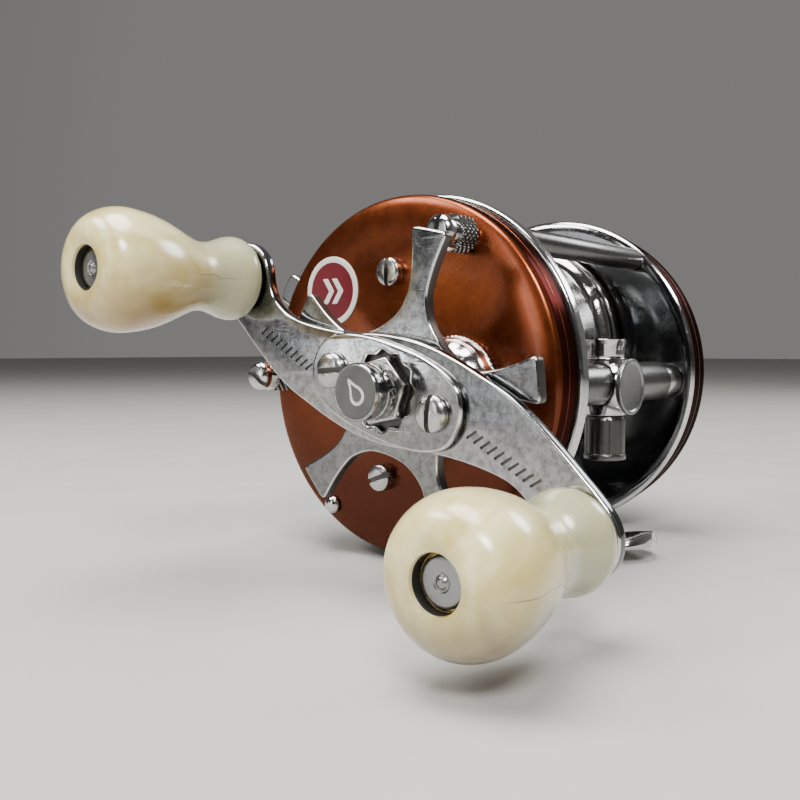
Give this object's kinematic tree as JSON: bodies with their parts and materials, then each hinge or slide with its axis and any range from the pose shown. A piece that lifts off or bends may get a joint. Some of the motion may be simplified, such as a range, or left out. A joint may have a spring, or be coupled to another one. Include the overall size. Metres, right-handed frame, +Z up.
{
  "type": "baitcasting fishing reel",
  "caption": "Small round-frame baitcasting reel with bronze side plates, chrome rings, a line winder, a star wheel, an S-shaped double handle and cream knobs.",
  "frame": {"origin": "middle of the flat underside of the reel foot", "axes": "+X along the spool axis to the handle side, +Y to the front where the line leaves, +Z up"},
  "size_m": [0.101, 0.0768, 0.0565],
  "materials": {
    "chrome": "polished plating with light wear",
    "steel": "polished, slightly worn",
    "brass": "machined",
    "bronze_lacquer": "gloss coloured lacquer over metal",
    "fibre": "matt",
    "knob_plastic": "pearly gloss",
    "badge": "gloss"
  },
  "bodies": {
    "frame": {"right_frame_plate": "chrome", "left_frame_plate": "chrome", "front_pillar": "chrome", "thumb_rest": "chrome", "foot_crossbar": "chrome", "reel_foot": "chrome", "foot_rivet_front": "steel", "foot_rivet_rear": "steel", "worm_tube": "steel", "tube_bush": "steel", "right_side_plate": "bronze_lacquer", "badge": "badge", "shaft_boss": "chrome", "plate_screw_upper": "steel", "plate_screw_lower": "steel", "plate_rivet": "steel", "thumbscrew_top": "chrome", "thumbscrew_rear": "chrome", "thumbscrew_bottom": "chrome", "bridge_plate": "brass", "right_bearing": "steel", "left_bearing": "steel", "left_side_plate": "bronze_lacquer", "brake_ring": "brass"},
    "handle": {"drive_shaft": "steel", "main_gear": "brass", "winding_gear": "fibre", "ratchet_wheel": "steel", "drag_washer": "fibre", "drag_plate": "steel", "star_spring": "steel", "handle_blade": "steel", "handle_nut": "steel", "cover_plate": "steel", "cover_screw_front": "steel", "cover_screw_rear": "steel", "oil_cap": "chrome", "knob_spindle_front": "steel", "knob_spindle_rear": "steel"},
    "star": {"star_wheel": "steel"},
    "front_grip": {"knob_front": "knob_plastic"},
    "rear_grip": {"knob_rear": "knob_plastic"},
    "spool": {"spool": "steel", "spool_shaft": "steel", "brake_rotor": "brass", "brake_block_upper": "fibre", "brake_block_lower": "fibre"},
    "yoke": {"pinion_yoke": "steel"},
    "pinion": {"pinion": "brass"},
    "worm": {"worm_shaft": "steel", "worm_cog": "brass"},
    "carriage": {"line_carriage": "chrome", "line_guide": "chrome", "carriage_cap": "chrome", "pawl_housing": "chrome", "worm_pawl": "brass"},
    "clutch": {"clutch_button": "chrome"},
    "click": {"click_button": "chrome"},
    "tension": {"tension_cap": "chrome"},
    "pawl": {"ratchet_pawl": "steel"}
  },
  "joints": [
    {"name": "handle_spin", "type": "hinge", "parent": "frame", "child": "handle", "pos_m": [0.041, 0.0112, 0.0273], "axis": [1, 0, 0], "continuous": true},
    {"name": "star_turn", "type": "hinge", "parent": "handle", "child": "star", "pos_m": [0.0387, 0.0112, 0.0273], "axis": [1, 0, 0], "range_deg": [-180, 180]},
    {"name": "knob_front_spin", "type": "hinge", "parent": "handle", "child": "front_grip", "pos_m": [0.056, 0.03908, 0.01159], "axis": [1, 0, 0], "continuous": true},
    {"name": "knob_rear_spin", "type": "hinge", "parent": "handle", "child": "rear_grip", "pos_m": [0.056, -0.01668, 0.04301], "axis": [1, 0, 0], "continuous": true},
    {"name": "spool_spin", "type": "hinge", "parent": "frame", "child": "spool", "pos_m": [0, -0.004, 0.033], "axis": [1, 0, 0], "continuous": true},
    {"name": "clutch_press", "type": "slide", "parent": "frame", "child": "clutch", "axis": [0, 0.8746, -0.4848], "range_m": [0, 0.0025]},
    {"name": "yoke_slide", "type": "slide", "parent": "frame", "child": "yoke", "axis": [1, 0, 0], "range_m": [0, 0.001]},
    {"name": "pinion_spin", "type": "hinge", "parent": "yoke", "child": "pinion", "pos_m": [0.021, -0.004, 0.033], "axis": [1, 0, 0], "continuous": true},
    {"name": "worm_spin", "type": "hinge", "parent": "frame", "child": "worm", "pos_m": [0, 0.0232, 0.0273], "axis": [1, 0, 0], "continuous": true},
    {"name": "carriage_slide", "type": "slide", "parent": "frame", "child": "carriage", "axis": [1, 0, 0], "range_m": [-0.0146, 0.007]},
    {"name": "tension_turn", "type": "hinge", "parent": "frame", "child": "tension", "pos_m": [-0.03, -0.004, 0.033], "axis": [1, 0, 0], "range_deg": [-180, 180]},
    {"name": "click_slide", "type": "slide", "parent": "frame", "child": "click", "axis": [0, 1, 0], "range_m": [0, 0.005]},
    {"name": "ratchet_pawl_swing", "type": "hinge", "parent": "frame", "child": "pawl", "pos_m": [0.0223, 0.00472, 0.01804], "axis": [1, 0, 0], "range_deg": [-6, 10]}
  ],
  "couplings": [
    {"joint": "spool_spin", "follows": "handle_spin", "ratio": -4.7273},
    {"joint": "pinion_spin", "follows": "handle_spin", "ratio": -4.7273},
    {"joint": "worm_spin", "follows": "handle_spin", "ratio": -3.6154},
    {"joint": "yoke_slide", "follows": "clutch_press", "ratio": 0.4}
  ]
}
